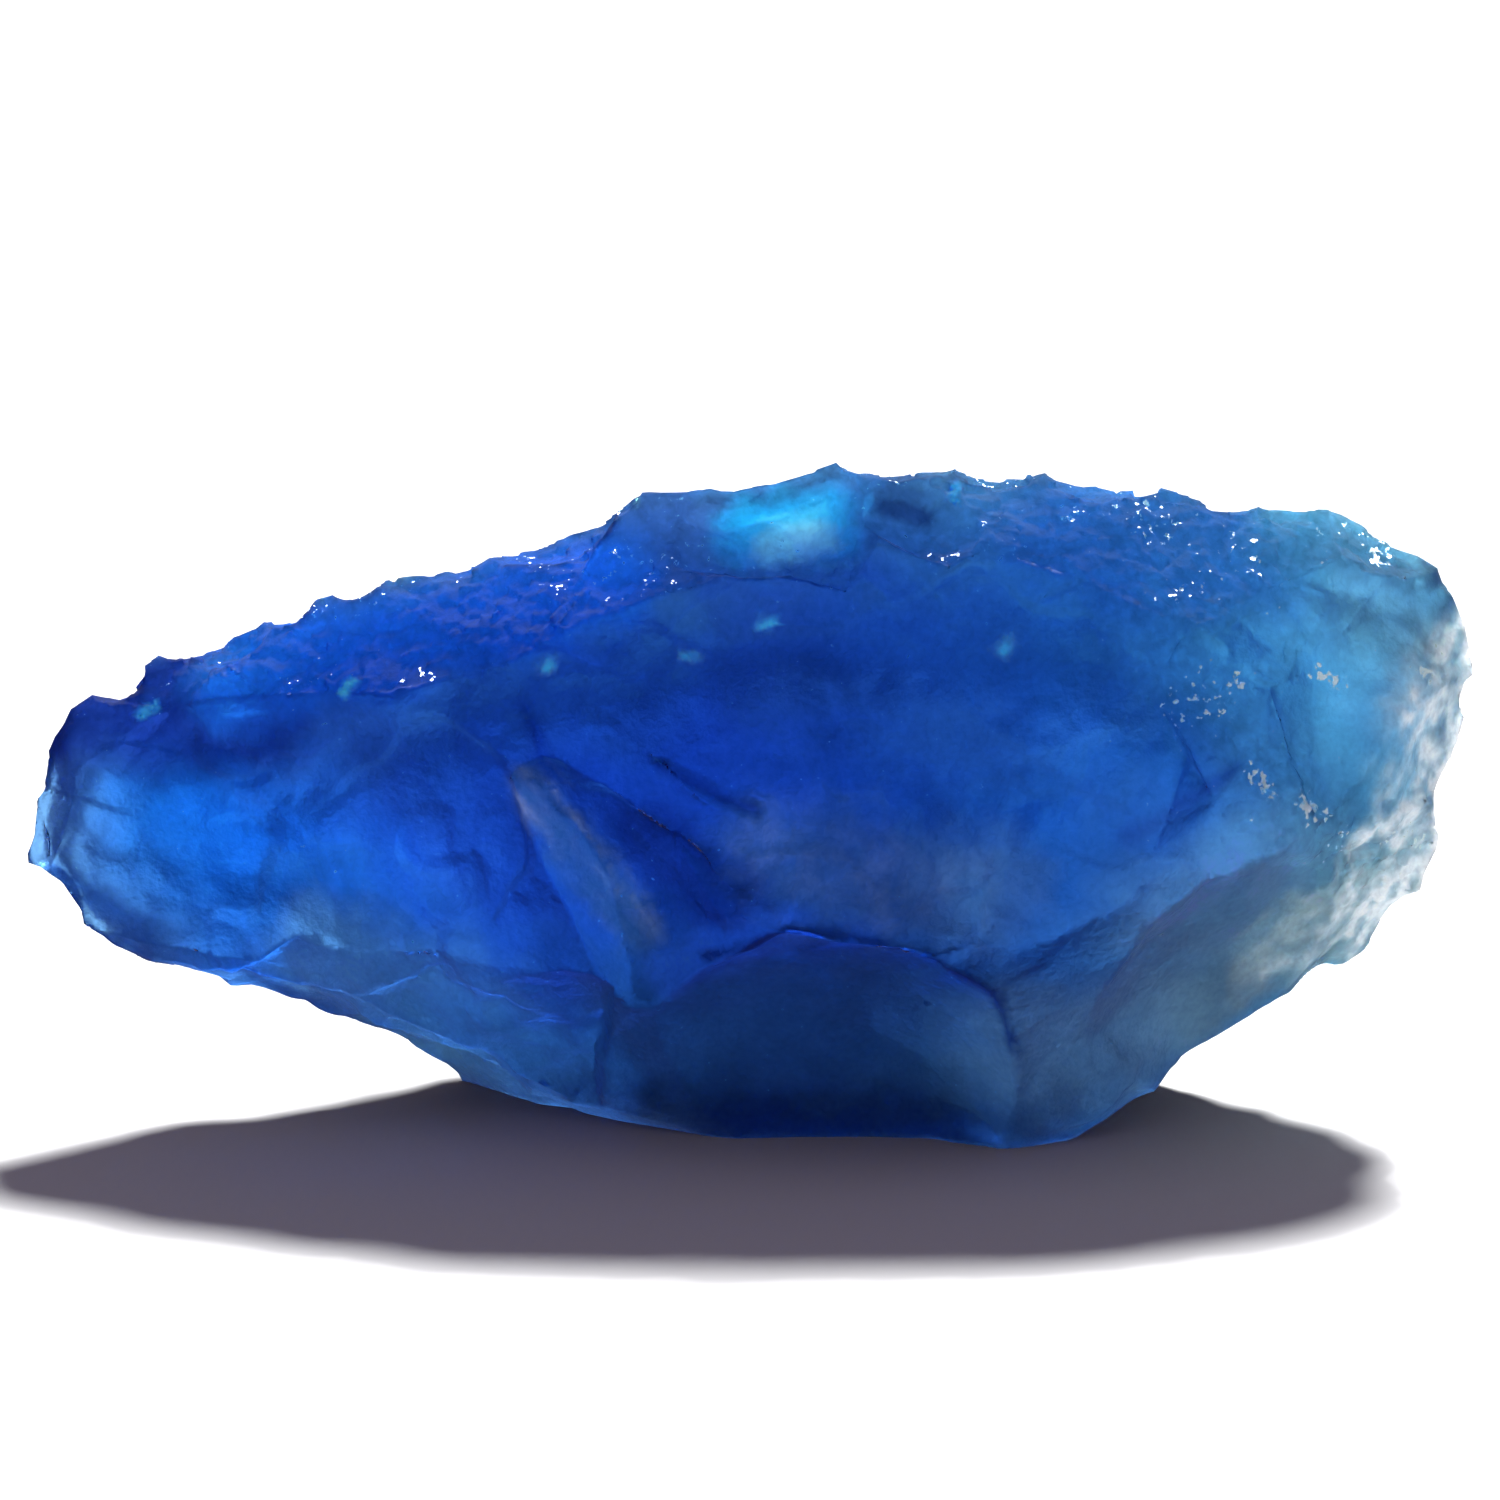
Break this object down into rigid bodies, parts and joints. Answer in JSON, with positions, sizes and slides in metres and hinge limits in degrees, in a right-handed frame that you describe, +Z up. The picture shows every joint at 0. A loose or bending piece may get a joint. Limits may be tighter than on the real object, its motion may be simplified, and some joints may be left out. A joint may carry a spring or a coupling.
{
  "type": "raw hauyne crystal",
  "caption": "Raw fragment of see-through blue hauyne gem crystal, with a blunt point, shell-shaped fracture scars, a pale frosted end and a flat foot that it rests on.",
  "frame": {"origin": "on the surface that the stone rests on, under the middle of its bounding box", "axes": "+X along the length, from the blunt point to the pale end; +Y away from the viewer of the picture; +Z up"},
  "size_m": [0.01, 0.0042, 0.0047],
  "materials": {
    "hauyne_crystal": "freshly broken, glassy on the shell-shaped scars and frosted at the pale end"
  },
  "bodies": {
    "root": {"hauyne": "hauyne_crystal"}
  },
  "joints": []
}
